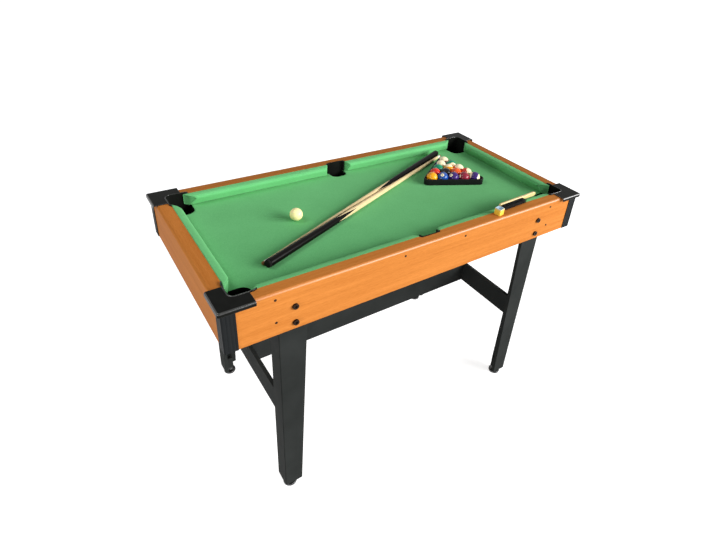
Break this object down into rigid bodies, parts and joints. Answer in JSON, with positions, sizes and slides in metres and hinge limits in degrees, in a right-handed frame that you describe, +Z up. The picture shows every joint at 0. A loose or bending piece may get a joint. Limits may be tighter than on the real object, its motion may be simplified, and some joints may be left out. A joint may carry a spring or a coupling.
{
  "type": "billiard table",
  "caption": "Small pool table with wood-look rails, green cloth, black pocket mouldings and an H-braced stand, set out with balls in a rack, cues, brush and chalk.",
  "frame": {"origin": "on the floor, under the middle of the table", "axes": "+X along the table's length to its right end, +Y across to the back, +Z up; the front long side faces -Y"},
  "size_m": [1.22, 0.615, 0.7933],
  "materials": {
    "wood_laminate": "satin wood-grain laminate on board",
    "plain_board": "raw fibreboard and battens",
    "green_cloth": "brushed green cloth",
    "black_plastic": "polished black moulding",
    "black_laminate": "black melamine laminate on board",
    "foot_plastic": "black moulded foot on a steel stem",
    "dark_steel": "blackened steel",
    "ball_resin": "polished cast resin in fifteen plain colours",
    "cue_ball_resin": "polished ivory-white cast resin",
    "cue_wood": "lacquered pale hardwood with a black butt",
    "brush_wood": "clear-lacquered pale hardwood",
    "bristle": "black set bristle",
    "chalk_block": "pressed chalk in a paper wrapper"
  },
  "bodies": {
    "table": {"bed_board": "plain_board", "bed_cloth": "green_cloth", "front_batten": "plain_board", "back_batten": "plain_board", "left_batten": "plain_board", "right_batten": "plain_board", "front_left_batten": "plain_board", "front_right_batten": "plain_board", "back_right_batten": "plain_board", "back_left_batten": "plain_board", "front_rail": "wood_laminate", "back_rail": "wood_laminate", "left_rail": "wood_laminate", "right_rail": "wood_laminate", "front_apron": "wood_laminate", "back_apron": "wood_laminate", "left_apron": "wood_laminate", "right_apron": "wood_laminate", "front_left_cushion": "green_cloth", "front_right_cushion": "green_cloth", "back_right_cushion": "green_cloth", "back_left_cushion": "green_cloth", "left_cushion": "green_cloth", "right_cushion": "green_cloth", "front_left_pocket": "black_plastic", "front_right_pocket": "black_plastic", "back_right_pocket": "black_plastic", "back_left_pocket": "black_plastic", "front_side_pocket": "black_plastic", "back_side_pocket": "black_plastic", "front_left_post": "black_plastic", "front_right_post": "black_plastic", "back_right_post": "black_plastic", "back_left_post": "black_plastic", "front_left_leg": "black_laminate", "front_right_leg": "black_laminate", "back_right_leg": "black_laminate", "back_left_leg": "black_laminate", "front_left_leg_block": "black_laminate", "front_right_leg_block": "black_laminate", "back_right_leg_block": "black_laminate", "back_left_leg_block": "black_laminate", "left_stretcher": "black_laminate", "right_stretcher": "black_laminate", "centre_stretcher": "black_laminate", "leg_bolts": "dark_steel", "leg_nuts": "dark_steel", "wood_screws": "dark_steel"},
    "front_left_foot": {"front_left_leveller": "foot_plastic"},
    "front_right_foot": {"front_right_leveller": "foot_plastic"},
    "back_right_foot": {"back_right_leveller": "foot_plastic"},
    "back_left_foot": {"back_left_leveller": "foot_plastic"},
    "cue_ball": {"cue_ball": "cue_ball_resin"},
    "object_balls": {"object_balls": "ball_resin"},
    "rack": {"rack": "black_plastic"},
    "cue_1": {"cue_1": "cue_wood"},
    "cue_2": {"cue_2": "cue_wood"},
    "brush": {"brush_back": "brush_wood", "brush_bristles": "bristle"},
    "chalk": {"chalk": "chalk_block"}
  },
  "joints": [
    {"name": "front_left_foot_screw", "type": "slide", "parent": "table", "child": "front_left_foot", "axis": [0, 0, -1], "range_m": [0, 0.012]},
    {"name": "front_right_foot_screw", "type": "slide", "parent": "table", "child": "front_right_foot", "axis": [0, 0, -1], "range_m": [0, 0.012]},
    {"name": "back_right_foot_screw", "type": "slide", "parent": "table", "child": "back_right_foot", "axis": [0, 0, -1], "range_m": [0, 0.012]},
    {"name": "back_left_foot_screw", "type": "slide", "parent": "table", "child": "back_left_foot", "axis": [0, 0, -1], "range_m": [0, 0.012]},
    {"name": "cue_ball_lift", "type": "slide", "parent": "table", "child": "cue_ball", "axis": [0, 0, 1], "range_m": [0, 0.15]},
    {"name": "object_balls_lift", "type": "slide", "parent": "table", "child": "object_balls", "axis": [0, 0, 1], "range_m": [0, 0.15]},
    {"name": "rack_lift", "type": "slide", "parent": "table", "child": "rack", "axis": [0, 0, 1], "range_m": [0, 0.15]},
    {"name": "cue_1_lift", "type": "slide", "parent": "table", "child": "cue_1", "axis": [0, 0, 1], "range_m": [0, 0.15]},
    {"name": "cue_2_lift", "type": "slide", "parent": "table", "child": "cue_2", "axis": [0, 0, 1], "range_m": [0, 0.15]},
    {"name": "brush_lift", "type": "slide", "parent": "table", "child": "brush", "axis": [0, 0, 1], "range_m": [0, 0.1]},
    {"name": "chalk_lift", "type": "slide", "parent": "table", "child": "chalk", "axis": [0, 0, 1], "range_m": [0, 0.1]}
  ]
}
